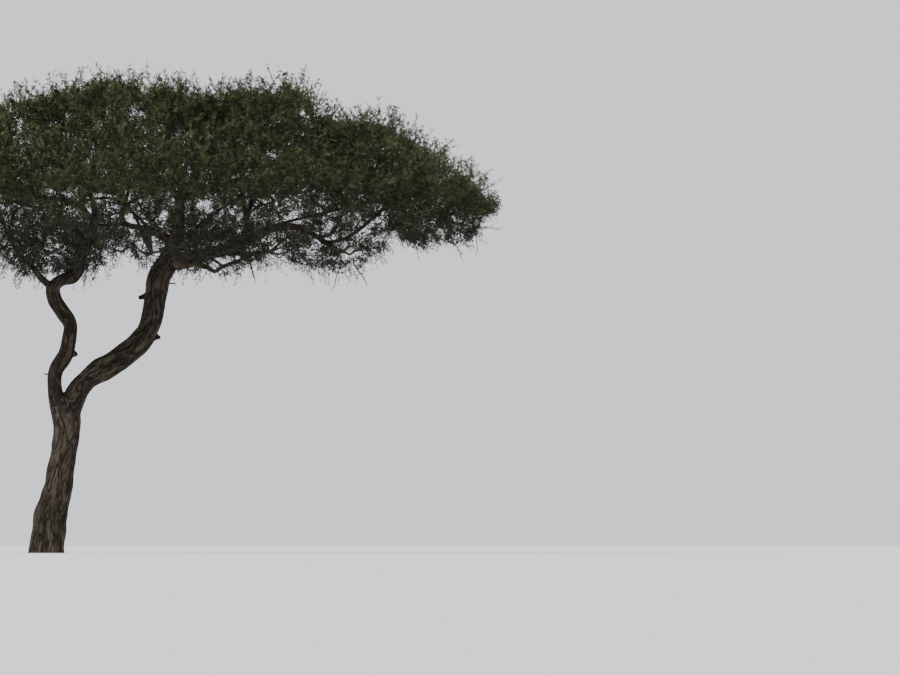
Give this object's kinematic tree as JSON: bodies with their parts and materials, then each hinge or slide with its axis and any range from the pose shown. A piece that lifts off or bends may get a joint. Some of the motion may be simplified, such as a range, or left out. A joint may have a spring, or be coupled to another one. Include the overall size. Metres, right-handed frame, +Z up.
{
  "type": "flat-topped acacia tree",
  "caption": "Savanna acacia with a leaning trunk that forks into twin stems under a wide, flat-topped umbrella crown of fine foliage.",
  "frame": {"origin": "middle of the flat cut under the trunk, at ground level", "axes": "+Z up; +X to the right as one looks along +Y, the way the crown and the right stem lean; +Y away from the viewer"},
  "size_m": [12.8635, 10.7629, 9.9979],
  "materials": {
    "bark": "rough fissured dark grey-brown bark",
    "foliage": "fine matt olive-green leaflets on thin twigs"
  },
  "bodies": {
    "root": {"trunk": "bark", "left_stem_lower": "bark", "left_stem_upper": "bark", "right_stem_lower": "bark", "right_stem_upper": "bark", "left_bough": "bark", "left_side_bough": "bark", "upright_bough": "bark", "right_low_bough_inner": "bark", "right_low_bough_outer": "bark", "kinked_bough": "bark", "inner_left_bough": "bark", "bough_to_crown_under_2": "bark", "bough_to_crown_under_3": "bark", "bough_to_crown_under_6": "bark", "bough_to_crown_inner_1": "bark", "bough_to_crown_inner_2": "bark", "bough_to_crown_inner_3": "bark", "bough_to_crown_inner_5": "bark", "bough_to_crown_inner_6": "bark", "bough_to_crown_rim_1": "bark", "bough_to_crown_rim_2": "bark", "bough_to_crown_rim_3": "bark", "bough_to_crown_rim_4": "bark", "bough_to_crown_rim_5": "bark", "bough_to_crown_rim_6": "bark", "bough_to_crown_rim_7": "bark", "bough_to_crown_rim_8": "bark", "bough_to_crown_rim_9": "bark", "bough_to_crown_rim_10": "bark", "crown_top_1": "foliage", "crown_inner_1": "foliage", "crown_inner_2": "foliage", "crown_inner_3": "foliage", "crown_inner_4": "foliage", "crown_inner_5": "foliage", "crown_inner_6": "foliage", "crown_rim_1": "foliage", "crown_rim_2": "foliage", "crown_rim_3": "foliage", "crown_rim_4": "foliage", "crown_rim_5": "foliage", "crown_rim_6": "foliage", "crown_rim_7": "foliage", "crown_rim_8": "foliage", "crown_rim_9": "foliage", "crown_rim_10": "foliage", "crown_under_1": "foliage", "crown_under_2": "foliage", "crown_under_3": "foliage", "crown_under_4": "foliage", "crown_under_5": "foliage", "crown_under_6": "foliage", "crown_under_7": "foliage"}
  },
  "joints": []
}
